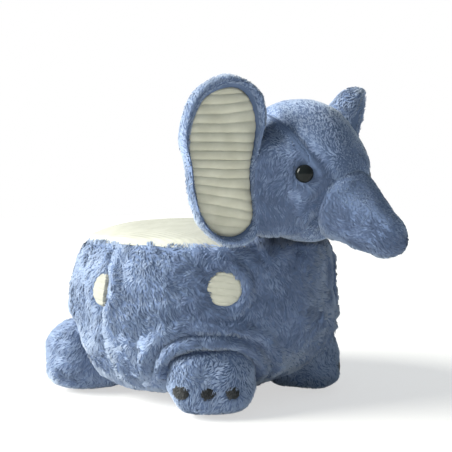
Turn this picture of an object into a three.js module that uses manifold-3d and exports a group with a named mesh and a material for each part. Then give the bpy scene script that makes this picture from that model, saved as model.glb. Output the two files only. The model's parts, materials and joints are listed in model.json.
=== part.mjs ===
// A stuffed elephant made as a toddler's floor seat: a drum-shaped body with a ribbed seat top, a head
// with a drooping trunk, two large ears, four short stuffed legs and a short tail. Millimetres, +Z up.
// The elephant faces -Y and its right side is -X. The origin is on the floor under the body's middle.
import * as THREE from "three";
import { mergeVertices } from "three/addons/utils/BufferGeometryUtils.js";
import Module from "manifold-3d";

const wasm = await Module();
wasm.setup();

// ---------- driving dimensions ----------
const SKIN = 5; // thickness of the plush cover with its backing
const GAP = 0.35; // air between neighbouring pieces
const SIDES = [
  { name: "right", s: -1 },
  { name: "left", s: 1 },
];

const BODY = { halfX: 190, halfY: 208, sides: 24 };
// Share of the half width, height: flat underside, rounded lower edge, upright wall, rim, domed seat.
// First the sides and the rear, then the chest, which is rounder below and more upright above.
const FLANK_PROFILE = [
  [0, 0],
  [0.26, 0],
  [0.52, 7],
  [0.76, 20],
  [0.91, 46],
  [1, 110],
  [0.995, 150],
  [0.955, 190],
  [0.88, 219],
  [0.72, 236],
  [0.36, 249.5],
  [0, 252],
];
const CHEST_PROFILE = [
  [0, 0],
  [0.26, 0],
  [0.5, 12],
  [0.74, 34],
  [0.9, 65],
  [0.995, 115],
  [1, 150],
  [0.98, 190],
  [0.95, 219],
  [0.72, 236],
  [0.36, 249.5],
  [0, 252],
];
// Y where the flank starts to turn into the chest, and where it is the chest.
const CHEST = { from: -60, full: -150 };
const RIM_Z = 219; // seam between the wall and the seat panel
const SIDE_SEAM_Y = -24; // upright seam between the front and the rear half of the wall
const BASE_SHARE = 0.22; // the base panel's share of the body's half width
const SPOT = { radius: 22, frontZ: 166, rearZ: 158, frontPolar: 235, rearPolar: 180.5, reach: 120 };

const HEAD_BULGE = 2.15; // a little blockier than an ellipsoid
const HEAD = { x: 0, y: -186, z: 315, halfX: 84, halfY: 88, halfZ: 96 };
const MUZZLE = { push: 12, z: 296, spread: 42 }; // the face swells forward round this height
const GUSSET_HALF = 25; // half width of the centre strip that runs over the crown
const GUSSET_FROM_Z = 250; // the strip ends above this at the back of the neck
const NECK = { y: -152, z: 222, radius: 52, top: 246, shoulder: 48, nod: 7, play: 3, below: 10 };
// The space that the nodding head sweeps.
const HEAD_ROOM = { z: 316, halfX: 87, halfY: 112, halfZ: 101 };

const EYE = { x: 64, y: -249, z: 309, radius: 12.5, dome: 8, domeBase: 1.5 };
const SHANK = { radius: 3, depth: 14, sides: 8 }; // the eye's stem, and how far it reaches into the head
const WASHER = { radius: 14, thick: 3 };

const TRUNK = {
  root: [0, -255, 278],
  tip: [0, -326, 235],
  rootRadius: 48,
  tipRadius: 26,
  socket: 3.6, // space round the root's ball
  openEnd: 4, // the cover ends this far behind the ball's middle
};

const EAR = {
  root: [82, -196, 326],
  sweep: 25, // degrees that the ear lies back from straight out to the side
  thick: 26,
  bevel: 7,
  lining: 3,
  back: 4,
  recess: 2,
};
// Outward from the root and up from the ear's middle: an upper lobe, a waist and a smaller lower lobe.
const EAR_OUTLINE = [
  [48, 104],
  [84, 87],
  [100, 61],
  [107, 26],
  [98, -10],
  [96, -43],
  [81, -82],
  [46, -106],
  [12, -98],
  [4, -75],
  [9, -36],
  [9, -6],
  [4, 24],
  [-2, 56],
  [9, 87],
];
const LINING_GAP = 0.6; // between the lining and the rim, toward the lining's middle
const LINING_OUTLINE = [
  [42, 90],
  [74, 77],
  [91, 47],
  [96, 16],
  [91, -25],
  [83, -63],
  [64, -89],
  [34, -94],
  [13, -73],
  [17, -36],
  [18, -10],
  [12, 20],
  [9, 49],
  [19, 79],
];

// Polar angle of each leg, how far its middle and its toe end stand from the body's axis, and its size.
const LEGS = [
  { name: "front_right", polar: 231, middle: 149, half: [57, 60, 50], nails: true },
  { name: "front_left", polar: 309, middle: 149, half: [57, 60, 50], nails: true },
  { name: "rear_right", polar: 142, middle: 166, half: [66, 60, 53], nails: false },
  { name: "rear_left", polar: 38, middle: 166, half: [66, 60, 53], nails: false },
];
const LEG_HINGE = { inFromMiddle: 30, z: 62, lift: 12 };
const LEG_OPEN = 0.45; // share of the half length past which the leg's cover is open toward the body
const FLOOR_CLEAR = 0.2; // the legs hang this far above the floor that the base panel rests on
const LEG_BULGE = 2.5; // exponent of the rounded block that a leg is
const LEG_ROOM = 2.4; // space round a leg's root
const NAIL = { halfWidth: 9.5, halfHeight: 7.5, spacing: 31, inboard: 8, z: 36, proud: 1.6, reach: 0.8 };

const TAIL = { y: 212, z: 172, length: 46, radius: 9, droop: 55, room: 16 };
const TAIL_TUFT = { radius: 15, length: 32 };

// Facets round each kind of piece.
const FACETS = {
  leg: 14,
  head: 18,
  headRoom: 14,
  eye: 12,
  trunk: 14,
  spot: 14,
  nail: 8,
  round: 20,
  tail: 10,
};

// ---------- materials ----------
const plush = new THREE.MeshStandardMaterial({ color: 0x7f93b9, roughness: 0.95, metalness: 0 });
const ribbed = new THREE.MeshStandardMaterial({ color: 0xe3e0cf, roughness: 0.9, metalness: 0 });
const filling = new THREE.MeshStandardMaterial({ color: 0xf2f2ef, roughness: 1, metalness: 0 });
const gloss = new THREE.MeshStandardMaterial({ color: 0x0d0f10, roughness: 0.15, metalness: 0 });
const nailCloth = new THREE.MeshStandardMaterial({ color: 0x2c2f33, roughness: 0.85, metalness: 0 });
const baseCloth = new THREE.MeshStandardMaterial({ color: 0x66779b, roughness: 0.95, metalness: 0 });
const lockPlastic = new THREE.MeshStandardMaterial({ color: 0xe8e8e4, roughness: 0.5, metalness: 0 });

// ---------- helpers ----------
const rad = THREE.MathUtils.degToRad;
const elephant = new THREE.Group();

// A closed three.js geometry as a solid.
function solid(geometry) {
  const bare = geometry.clone();
  bare.deleteAttribute("normal");
  bare.deleteAttribute("uv");
  const merged = mergeVertices(bare, 1e-4);
  return new wasm.Manifold(
    new wasm.Mesh({
      numProp: 3,
      vertProperties: new Float32Array(merged.attributes.position.array),
      triVerts: new Uint32Array(merged.index.array),
    }),
  );
}

// Adds a solid to the scene as one named mesh.
function add(name, made, material) {
  const mesh = made.getMesh();
  const geometry = new THREE.BufferGeometry();
  geometry.setAttribute("position", new THREE.BufferAttribute(mesh.vertProperties, 3));
  geometry.setIndex(new THREE.BufferAttribute(mesh.triVerts, 1));
  geometry.computeVertexNormals();
  const piece = new THREE.Mesh(geometry, material);
  piece.name = name;
  elephant.add(piece);
}

// A ball stretched to three half sizes; power above 2 makes it blockier.
function ball(half, sides = 24, power = 2) {
  const geometry = new THREE.SphereGeometry(1, sides, Math.round(sides / 2));
  geometry.rotateX(Math.PI / 2);
  const p = geometry.attributes.position;
  for (let i = 0; i < p.count; i++) {
    const v = new THREE.Vector3().fromBufferAttribute(p, i);
    const sum = Math.abs(v.x) ** power + Math.abs(v.y) ** power + Math.abs(v.z) ** power;
    v.multiplyScalar(sum ** (-1 / power));
    p.setXYZ(i, v.x * half[0], v.y * half[1], v.z * half[2]);
  }
  return geometry;
}

// The body's shape drawn in by a distance all over.
function bodyShape(inset) {
  const meanHalf = (BODY.halfX + BODY.halfY) / 2;
  const top = FLANK_PROFILE[FLANK_PROFILE.length - 1][1];
  const rings = FLANK_PROFILE.length;
  const flat = FLANK_PROFILE.map((point, i) => new THREE.Vector2(i === 0 || i === rings - 1 ? 0 : 1, i));
  const geometry = new THREE.LatheGeometry(flat, BODY.sides);
  geometry.rotateX(Math.PI / 2);
  const p = geometry.attributes.position;
  for (let i = 0; i < p.count; i++) {
    const ring = Math.round(p.getZ(i));
    const toChest = THREE.MathUtils.smoothstep(-p.getY(i) * BODY.halfY, -CHEST.from, -CHEST.full);
    const share = THREE.MathUtils.lerp(FLANK_PROFILE[ring][0], CHEST_PROFILE[ring][0], toChest);
    const z = THREE.MathUtils.lerp(FLANK_PROFILE[ring][1], CHEST_PROFILE[ring][1], toChest);
    const radial = Math.max(share - inset / meanHalf, 0);
    const level = inset + (z * (top - 2 * inset)) / top;
    p.setXYZ(i, p.getX(i) * radial * BODY.halfX, p.getY(i) * radial * BODY.halfY, level);
  }
  return solid(geometry);
}

// An upright cylinder with an elliptical plan.
function upright(halfX, halfY, x, y, fromZ, toZ, sides = FACETS.round) {
  const geometry = new THREE.CylinderGeometry(1, 1, toZ - fromZ, sides);
  geometry.rotateX(Math.PI / 2);
  geometry.scale(halfX, halfY, 1);
  geometry.translate(x, y, (fromZ + toZ) / 2);
  return solid(geometry);
}

// A box between two corners.
function block(low, high) {
  const geometry = new THREE.BoxGeometry(high[0] - low[0], high[1] - low[1], high[2] - low[2]);
  geometry.translate((low[0] + high[0]) / 2, (low[1] + high[1]) / 2, (low[2] + high[2]) / 2);
  return solid(geometry);
}

// The head's egg, grown by a distance.
function headShape(grow) {
  const geometry = ball([HEAD.halfX + grow, HEAD.halfY + grow, HEAD.halfZ + grow], FACETS.head, HEAD_BULGE);
  geometry.translate(HEAD.x, HEAD.y, HEAD.z);
  const p = geometry.attributes.position;
  for (let i = 0; i < p.count; i++) {
    const forward = Math.max(0, (HEAD.y - p.getY(i)) / HEAD.halfY);
    const level = Math.exp(-(((p.getZ(i) - MUZZLE.z) / MUZZLE.spread) ** 2));
    p.setY(i, p.getY(i) - MUZZLE.push * level * forward ** 2);
  }
  return solid(geometry);
}

// Turns a solid about a line through a point.
function turned(made, point, axis, degrees) {
  const turn = new THREE.Matrix4()
    .makeTranslation(...point)
    .multiply(new THREE.Matrix4().makeRotationAxis(new THREE.Vector3(...axis).normalize(), rad(degrees)))
    .multiply(new THREE.Matrix4().makeTranslation(...point.map((v) => -v)));
  return made.transform(turn.elements);
}

const FAR = 600;
const LOWEST = [-FAR, -FAR, -FAR];
const HIGHEST = [FAR, FAR, FAR];

// ---------- legs ----------
const legRooms = [];
for (const leg of LEGS) {
  const angle = rad(leg.polar);
  const centreZ = leg.half[2] + FLOOR_CLEAR;
  const towardSide = Math.sign(Math.cos(angle)); // the nails sit a little to the outer side of the foot
  const place = (geometry, growth) => {
    geometry.translate(leg.middle + growth, 0, centreZ);
    geometry.rotateZ(angle);
    return solid(geometry);
  };
  const grown = (by) => leg.half.map((h) => h + by);
  const outer = place(ball(leg.half, FACETS.leg, LEG_BULGE), 0);
  const inner = place(ball(grown(-SKIN), FACETS.leg, LEG_BULGE), 0);
  const core = place(ball(grown(-SKIN - GAP), FACETS.leg, LEG_BULGE), 0);
  const openEnd = leg.middle - leg.half[0] * LEG_OPEN;
  const rootCut = block(LOWEST, [openEnd, FAR, FAR]).rotate(0, 0, leg.polar);
  let cover = outer.subtract(inner).subtract(rootCut);
  if (leg.nails) {
    const proud = place(ball(grown(NAIL.proud), FACETS.leg, LEG_BULGE), 0);
    [-1, 0, 1].forEach((step, i) => {
      const rod = (by) => {
        const geometry = new THREE.CylinderGeometry(1, 1, leg.half[0], FACETS.nail);
        geometry.rotateZ(Math.PI / 2);
        geometry.scale(1, NAIL.halfWidth + by, NAIL.halfHeight + by);
        const across = step * NAIL.spacing + towardSide * NAIL.inboard;
        geometry.translate(leg.middle + leg.half[0] * NAIL.reach, across, NAIL.z);
        geometry.rotateZ(angle);
        return solid(geometry);
      };
      add(`toenail_${leg.name}_${i + 1}`, proud.subtract(inner).intersect(rod(0)), nailCloth);
      cover = cover.subtract(rod(GAP));
    });
  }
  add(`leg_cover_${leg.name}`, cover, plush);
  add(`leg_filling_${leg.name}`, core, filling);
  const hinge = [
    (leg.middle - LEG_HINGE.inFromMiddle) * Math.cos(angle),
    (leg.middle - LEG_HINGE.inFromMiddle) * Math.sin(angle),
    LEG_HINGE.z,
  ];
  const room = place(ball(grown(LEG_ROOM), FACETS.leg, LEG_BULGE), 0);
  const across = [Math.sin(angle), -Math.cos(angle), 0];
  for (const share of [0, 1]) legRooms.push(turned(room, hinge, across, share * (LEG_HINGE.lift + 1)));
}

// ---------- body ----------
const headRoomShape = ball([HEAD_ROOM.halfX, HEAD_ROOM.halfY, HEAD_ROOM.halfZ], FACETS.headRoom, HEAD_BULGE);
headRoomShape.translate(0, HEAD.y, HEAD_ROOM.z);
const headRoom = solid(headRoomShape);
const seatEdge = NECK.radius + NECK.shoulder;
const seatZone = (by) =>
  block([-FAR, -FAR, RIM_Z + by], HIGHEST).subtract(
    upright(seatEdge + by, seatEdge + by, 0, NECK.y, 0, FAR),
  );
const neckHole = NECK.radius + NECK.play;
const neckRoom = upright(neckHole, neckHole, 0, NECK.y, RIM_Z - 1, FAR);
const tailHole = new THREE.SphereGeometry(TAIL.room, 10, 6);
tailHole.translate(0, TAIL.y, TAIL.z);
const tailRoom = solid(tailHole);

const bodyShell = bodyShape(0).subtract(bodyShape(SKIN));
const basePlan = (by) =>
  upright(BODY.halfX * BASE_SHARE + by, BODY.halfY * BASE_SHARE + by, 0, 0, -1, SKIN + 2);
add("base_panel", bodyShell.intersect(basePlan(0)), baseCloth);

const seatPanel = bodyShell.intersect(seatZone(GAP)).subtract(headRoom);
add("seat_panel", seatPanel, ribbed);

let cushion = bodyShape(SKIN + GAP).subtract(headRoom).subtract(neckRoom).subtract(tailRoom);
let wall = bodyShell.subtract(basePlan(GAP)).subtract(seatZone(0)).subtract(headRoom).subtract(neckRoom);
wall = wall.subtract(tailRoom);
for (const room of legRooms) {
  cushion = cushion.subtract(room);
  wall = wall.subtract(room);
}
for (const { name, s } of SIDES) {
  for (const [end, polar, z] of [
    ["front", SPOT.frontPolar, SPOT.frontZ],
    ["rear", SPOT.rearPolar, SPOT.rearZ],
  ]) {
    const angle = rad(s < 0 ? polar : 180 - polar);
    const rod = (by) => {
      const radius = SPOT.radius + by;
      const geometry = new THREE.CylinderGeometry(radius, radius, SPOT.reach, FACETS.spot);
      geometry.rotateZ(Math.PI / 2);
      geometry.translate(BODY.halfX, 0, z);
      geometry.rotateZ(angle);
      return solid(geometry);
    };
    add(`spot_${name}_${end}`, bodyShell.intersect(rod(0)), ribbed);
    wall = wall.subtract(rod(GAP));
  }
}
const frontHalf = block(LOWEST, [FAR, SIDE_SEAM_Y - GAP / 2, FAR]);
const rearHalf = block([-FAR, SIDE_SEAM_Y + GAP / 2, -FAR], HIGHEST);
add("body_wall_front", wall.intersect(frontHalf), plush);
add("body_wall_rear", wall.intersect(rearHalf), plush);
add("body_cushion", cushion, filling);

// ---------- head ----------
const rockSlope = Math.tan(rad(NECK.nod));
// The head's underside rises to each side of the nod line, so that the head can rock on the body.
const wedgeProfile = new THREE.Shape([
  new THREE.Vector2(-FAR, NECK.z - FAR),
  new THREE.Vector2(FAR, NECK.z - FAR),
  new THREE.Vector2(FAR, NECK.z + FAR * rockSlope),
  new THREE.Vector2(0, NECK.z),
  new THREE.Vector2(-FAR, NECK.z + FAR * rockSlope),
]);
const wedgeGeometry = new THREE.ExtrudeGeometry(wedgeProfile, { depth: 2 * FAR, bevelEnabled: false });
wedgeGeometry.rotateX(Math.PI / 2);
wedgeGeometry.rotateZ(Math.PI / 2);
wedgeGeometry.translate(-FAR, NECK.y, 0);
const underside = solid(wedgeGeometry);

const trunkRoot = new THREE.Vector3(...TRUNK.root);
const socketRadius = TRUNK.rootRadius + TRUNK.socket;
const socketGeometry = new THREE.SphereGeometry(socketRadius, FACETS.trunk, FACETS.trunk / 2);
socketGeometry.translate(...TRUNK.root);
const socket = solid(socketGeometry);

const neckPlug = upright(NECK.radius, NECK.radius, 0, NECK.y, NECK.z - NECK.below, NECK.top);
const eyeAxis = new THREE.Vector3(EYE.x, EYE.y - HEAD.y, EYE.z - HEAD.z).normalize();
// A round disc or dome along the eye's line of sight, from one distance to another along it.
function eyeRound(s, radius, from, to, sides = FACETS.eye) {
  const geometry = new THREE.CylinderGeometry(radius, radius, to - from, sides);
  geometry.translate(0, (from + to) / 2, 0);
  const aim = new THREE.Vector3(s * eyeAxis.x, eyeAxis.y, eyeAxis.z);
  geometry.applyQuaternion(new THREE.Quaternion().setFromUnitVectors(new THREE.Vector3(0, 1, 0), aim));
  geometry.translate(s * EYE.x, EYE.y, EYE.z);
  return solid(geometry);
}

let headCore = headShape(-SKIN - GAP).add(neckPlug).subtract(underside).subtract(socket);
let headShell = headShape(0).subtract(headShape(-SKIN));
const neckSleeve = upright(NECK.radius + GAP, NECK.radius + GAP, 0, NECK.y, 0, NECK.top + GAP);
headShell = headShell.subtract(underside).subtract(socket).subtract(neckSleeve);
// The washer grips the stem just short of its inner end.
const washerFrom = 2 - SHANK.depth;
const washerTo = washerFrom + WASHER.thick;
for (const { name, s } of SIDES) {
  const dome = ball([EYE.radius, EYE.radius, EYE.dome], FACETS.eye);
  const aim = new THREE.Vector3(s * eyeAxis.x, eyeAxis.y, eyeAxis.z);
  dome.applyQuaternion(new THREE.Quaternion().setFromUnitVectors(new THREE.Vector3(0, 0, 1), aim));
  dome.translate(s * EYE.x, EYE.y, EYE.z);
  dome.translate(aim.x * EYE.domeBase, aim.y * EYE.domeBase, aim.z * EYE.domeBase);
  const shank = eyeRound(s, SHANK.radius, -SHANK.depth, EYE.domeBase, SHANK.sides);
  add(`eye_${name}`, solid(dome).add(shank), gloss);
  const bore = (from, to) => eyeRound(s, SHANK.radius + GAP, from, to, SHANK.sides);
  const washer = eyeRound(s, WASHER.radius, washerFrom, washerTo);
  add(`eye_washer_${name}`, washer.subtract(bore(washerFrom - 4, EYE.domeBase)), lockPlastic);
  const room = eyeRound(s, WASHER.radius + GAP, washerFrom - 4, washerTo + GAP)
    .add(bore(washerFrom - 4, EYE.radius))
    .add(eyeRound(s, EYE.radius + GAP, -EYE.dome, SHANK.depth));
  headCore = headCore.subtract(room);
  headShell = headShell.subtract(room);
}
add("head_filling", headCore, filling);
const strip = (fromZ, toZ) => block([-GUSSET_HALF, -FAR, fromZ], [GUSSET_HALF, FAR, toZ]);
add("head_gusset", headShell.intersect(strip(GUSSET_FROM_Z, FAR)), plush);
// The strip's lower part falls into two pieces; the one under the trunk is the chin.
const lowerStrip = headShell.intersect(strip(-FAR, GUSSET_FROM_Z - GAP));
for (const piece of lowerStrip.decompose()) {
  if (piece.boundingBox().min[1] < HEAD.y - GUSSET_HALF) add("chin_panel", piece, plush);
}
const cheekFrom = GUSSET_HALF + GAP;
for (const { name, s } of SIDES) {
  const cheek = s < 0 ? block(LOWEST, [-cheekFrom, FAR, FAR]) : block([cheekFrom, -FAR, -FAR], HIGHEST);
  add(`head_side_${name}`, headShell.intersect(cheek), plush);
}

// ---------- trunk ----------
const trunkTip = new THREE.Vector3(...TRUNK.tip);
const trunkAim = trunkTip.clone().sub(trunkRoot).normalize();
const trunkLength = trunkTip.distanceTo(trunkRoot);
// A ball at the root and a smaller one at the tip, with a cone that touches both.
function trunkShape(inset) {
  const rootR = TRUNK.rootRadius - inset;
  const tipR = TRUNK.tipRadius - inset;
  const lean = Math.asin((rootR - tipR) / trunkLength);
  const profile = [];
  const steps = 5;
  for (let i = 0; i <= steps; i++) {
    const a = Math.PI - ((Math.PI / 2 + lean) * i) / steps;
    profile.push(new THREE.Vector2(rootR * Math.sin(a), rootR * Math.cos(a)));
  }
  for (let i = 0; i <= steps; i++) {
    const a = (Math.PI / 2 - lean) * (1 - i / steps);
    profile.push(new THREE.Vector2(tipR * Math.sin(a), trunkLength + tipR * Math.cos(a)));
  }
  profile[0].x = 0;
  profile[profile.length - 1].x = 0;
  const geometry = new THREE.LatheGeometry(profile, FACETS.trunk);
  geometry.applyQuaternion(new THREE.Quaternion().setFromUnitVectors(new THREE.Vector3(0, 1, 0), trunkAim));
  geometry.translate(...TRUNK.root);
  return solid(geometry);
}
// The cover is open where the trunk sits in the head.
const trunkBack = new THREE.CylinderGeometry(FAR / 4, FAR / 4, FAR / 2, FACETS.trunk);
trunkBack.translate(0, -FAR / 4 - TRUNK.openEnd, 0);
trunkBack.applyQuaternion(new THREE.Quaternion().setFromUnitVectors(new THREE.Vector3(0, 1, 0), trunkAim));
trunkBack.translate(...TRUNK.root);
add("trunk_cover", trunkShape(0).subtract(trunkShape(SKIN)).subtract(solid(trunkBack)), plush);
add("trunk_filling", trunkShape(SKIN + GAP), filling);

// ---------- ears ----------
// An outline as a flat plate that lies from one depth to another, with rounded edges.
function plate(points, grow, from, to, bevel, steps = 2) {
  const curve = new THREE.SplineCurve([...points, points[0]].map(([u, v]) => new THREE.Vector2(u, v)));
  const outline = curve.getPoints(points.length * steps).slice(0, -1);
  const middle = outline.reduce((sum, p) => sum.add(p), new THREE.Vector2()).divideScalar(outline.length);
  if (grow) for (const p of outline) p.add(p.clone().sub(middle).setLength(grow));
  const geometry = new THREE.ExtrudeGeometry(new THREE.Shape(outline), {
    depth: to - from - 2 * bevel,
    bevelEnabled: bevel > 0,
    bevelThickness: bevel,
    bevelSize: bevel,
    bevelOffset: -bevel,
    bevelSegments: 2,
  });
  geometry.translate(0, 0, from + bevel);
  return solid(geometry);
}

for (const { name, s } of SIDES) {
  const out = new THREE.Vector3(s * Math.cos(rad(EAR.sweep)), Math.sin(rad(EAR.sweep)), 0);
  const up = new THREE.Vector3(0, 0, 1);
  const facing = new THREE.Vector3().crossVectors(out, up);
  if (facing.y > 0) facing.negate();
  const basis = new THREE.Matrix4().makeBasis(out, up, facing);
  basis.setPosition(s * EAR.root[0], EAR.root[1], EAR.root[2]);
  const place = (made) => made.transform(basis.elements);
  const low = -EAR.thick / 2;
  const high = EAR.thick / 2;
  const outer = plate(EAR_OUTLINE, 0, low, high, EAR.bevel);
  const face = high - EAR.recess;
  const pocket = plate(LINING_OUTLINE, 0, low + EAR.back, high + SKIN, 0, 1);
  const pad = plate(LINING_OUTLINE, -LINING_GAP, low + EAR.back + GAP, face - EAR.lining - GAP, 0, 1);
  const lining = plate(LINING_OUTLINE, -LINING_GAP, face - EAR.lining, face, 0, 1);
  add(`ear_back_${name}`, place(outer.subtract(pocket)), plush);
  add(`ear_filling_${name}`, place(pad), filling);
  add(`ear_lining_${name}`, place(lining), ribbed);
}

// ---------- tail ----------
const tailAim = new THREE.Vector3(0, Math.cos(rad(TAIL.droop)), -Math.sin(rad(TAIL.droop)));
const tailTurn = new THREE.Quaternion().setFromUnitVectors(new THREE.Vector3(0, 1, 0), tailAim);
// Rounded at the root and a little thinner toward the tuft.
const tailProfile = [
  [0, -1],
  [0.75, -0.65],
  [1, 0],
  [0.925, TAIL.length / TAIL.radius / 2],
  [0.85, TAIL.length / TAIL.radius],
  [0, TAIL.length / TAIL.radius],
].map(([r, along]) => new THREE.Vector2(r * TAIL.radius, along * TAIL.radius));
const tailGeometry = new THREE.LatheGeometry(tailProfile, FACETS.tail);
const tuftGeometry = ball([TAIL_TUFT.radius, TAIL_TUFT.radius, TAIL_TUFT.length / 2], FACETS.tail);
tuftGeometry.rotateX(Math.PI / 2);
tuftGeometry.translate(0, TAIL.length + GAP + TAIL_TUFT.length / 2, 0);
for (const geometry of [tailGeometry, tuftGeometry]) {
  geometry.applyQuaternion(tailTurn);
  geometry.translate(0, TAIL.y, TAIL.z);
}
add("tail", solid(tailGeometry), plush);
add("tail_tuft", solid(tuftGeometry), plush);

export default elephant;
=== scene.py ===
"""The looks of the stuffed elephant seat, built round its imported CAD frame. Shapes are worked out in
millimetres in the axes of the frame (the elephant faces -Y, its right side is -X, Z is up) and become metres
in mesh_object()."""
import json
import math

import bpy
import numpy as np
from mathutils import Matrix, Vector
from mathutils.kdtree import KDTree


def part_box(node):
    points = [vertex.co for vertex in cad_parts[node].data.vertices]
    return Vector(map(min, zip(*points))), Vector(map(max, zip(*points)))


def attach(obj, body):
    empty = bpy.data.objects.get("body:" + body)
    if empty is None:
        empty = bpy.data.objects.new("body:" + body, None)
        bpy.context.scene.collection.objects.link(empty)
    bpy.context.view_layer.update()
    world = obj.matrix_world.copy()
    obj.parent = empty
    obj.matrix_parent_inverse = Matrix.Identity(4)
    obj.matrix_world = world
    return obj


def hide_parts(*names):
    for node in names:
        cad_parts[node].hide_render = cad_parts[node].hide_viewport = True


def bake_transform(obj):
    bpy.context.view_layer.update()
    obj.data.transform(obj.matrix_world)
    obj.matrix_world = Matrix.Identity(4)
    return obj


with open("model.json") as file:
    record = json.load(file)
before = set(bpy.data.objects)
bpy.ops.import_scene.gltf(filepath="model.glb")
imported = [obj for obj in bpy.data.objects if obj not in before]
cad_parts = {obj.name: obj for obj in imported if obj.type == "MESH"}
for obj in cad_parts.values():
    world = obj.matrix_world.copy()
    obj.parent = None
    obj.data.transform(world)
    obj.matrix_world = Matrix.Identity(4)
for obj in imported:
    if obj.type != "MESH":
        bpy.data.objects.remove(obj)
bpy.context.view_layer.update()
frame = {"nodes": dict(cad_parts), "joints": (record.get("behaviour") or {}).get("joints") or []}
MM = 1000.0
UP = np.array([0.0, 0.0, 1.0])


# ---------- reading the frame ----------
def box(*nodes):
    """The low and the high corner of some CAD nodes together, in millimetres."""
    corners = [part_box(n) for n in nodes]
    low = np.min([np.array(c[0]) for c in corners], axis=0) * MM
    high = np.max([np.array(c[1]) for c in corners], axis=0) * MM
    return low, high


def joint_at(name):
    """Where a joint's axis stands, in millimetres."""
    joint = next(j for j in frame["joints"] if j["name"] == name)
    return np.array(joint["pos_m"]) * MM


# ---------- numbers and fields ----------
def unit(v):
    """Vectors, each made one long."""
    v = np.asarray(v, float)
    return v / np.maximum(np.linalg.norm(v, axis=-1, keepdims=True), 1e-9)


def smooth(x, low, high):
    """A soft step: 0 below low, 1 above high."""
    t = np.clip((np.asarray(x, float) - low) / (high - low), 0, 1)
    return t * t * (3 - 2 * t)


def bump(x, centre, width):
    """A round hill, 1 high at centre."""
    return np.exp(-(((np.asarray(x, float) - centre) / width) ** 2))


def noise(p, size, seed):
    """Smooth value noise from -1 to 1, with features of about one size."""
    q = np.asarray(p, float) / size
    cell = np.floor(q).astype(np.int64)
    f = q - cell
    f = f * f * (3 - 2 * f)
    total = np.zeros(len(q))
    for dx in (0, 1):
        for dy in (0, 1):
            for dz in (0, 1):
                n = (cell[:, 0] + dx) * 374761393 + (cell[:, 1] + dy) * 668265263
                n = (n + (cell[:, 2] + dz) * 1440662683 + seed * 1274126177) & 0xFFFFFFFF
                n = ((n ^ (n >> 13)) * 1274126177) & 0xFFFFFFFF
                value = ((n ^ (n >> 16)) & 0xFFFF) / 32767.5 - 1
                w = (f[:, 0] if dx else 1 - f[:, 0]) * (f[:, 1] if dy else 1 - f[:, 1])
                total += value * w * (f[:, 2] if dz else 1 - f[:, 2])
    return total


def swirl(p, size, seed):
    """A smooth field of directions."""
    return np.stack([noise(p, size, seed + k) for k in (0, 17, 39)], axis=1)


def spline(points, t, closed=False):
    """Catmull-Rom through points, at t counted in points."""
    pts = np.asarray(points, float)
    n = len(pts)
    t = np.asarray(t, float)
    i = np.floor(t).astype(int)
    if not closed:
        i = np.clip(i, 0, n - 2)
    f = (t - i)[:, None]

    def at(k):
        return pts[k % n] if closed else pts[np.clip(k, 0, n - 1)]

    a, b, c, d = at(i - 1), at(i), at(i + 1), at(i + 2)
    cubic = (3 * b - a - 3 * c + d) * f**3
    return 0.5 * (2 * b + (c - a) * f + (2 * a - 5 * b + 4 * c - d) * f**2 + cubic)


# ---------- meshes ----------
def grid_faces(nu, nv, wrap_u):
    """Quads over a grid of nu by nv points; u may close on itself."""
    u = np.arange(nu if wrap_u else nu - 1)
    v = np.arange(nv - 1)
    uu, vv = np.meshgrid(u, v, indexing="ij")
    a = (uu * nv + vv).ravel()
    b = (((uu + 1) % nu) * nv + vv).ravel()
    return np.stack([a, b, b + 1, a + 1], axis=1)


def rings(around, along, low=0.0, high=1.0):
    """A grid closed round u: each point's angle, and its place from low to high."""
    angle = np.linspace(0, 2 * math.pi, around + 1)[:-1]
    u, v = np.meshgrid(angle, np.linspace(low, high, along), indexing="ij")
    return u.ravel(), v.ravel()


def vertex_normals(verts, faces):
    """A normal at every vertex of a mesh of quads, from the faces round it."""
    n = np.cross(verts[faces[:, 2]] - verts[faces[:, 0]], verts[faces[:, 3]] - verts[faces[:, 1]])
    out = np.zeros_like(verts)
    for k in range(4):
        np.add.at(out, faces[:, k], n)
    return unit(out)


def facing_out(verts, faces, away):
    """The faces, all turned over if they look against the directions in away."""
    against = (vertex_normals(verts, faces) * away).sum() < 0
    return faces[:, ::-1] if against else faces


def shell(verts, faces, thickness):
    """Closes an open sheet of quads into a skin: the sheet, its offset inside, and a wall along every edge."""
    used = np.unique(faces)
    remap = -np.ones(len(verts), int)
    remap[used] = np.arange(len(used))
    normals = vertex_normals(verts, faces)[used]
    top, faces = verts[used], remap[faces]
    n = len(top)
    edges = np.concatenate([faces[:, [k, (k + 1) % 4]] for k in range(4)])
    keys = np.sort(edges, axis=1)
    _, first, count = np.unique(keys[:, 0] * n + keys[:, 1], return_index=True, return_counts=True)
    rim = edges[first[count == 1]]
    walls = np.stack([rim[:, 1], rim[:, 0], rim[:, 0] + n, rim[:, 1] + n], axis=1)
    skin = np.concatenate([top, top - normals * thickness])
    return skin, np.concatenate([faces, faces[:, ::-1] + n, walls])


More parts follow.
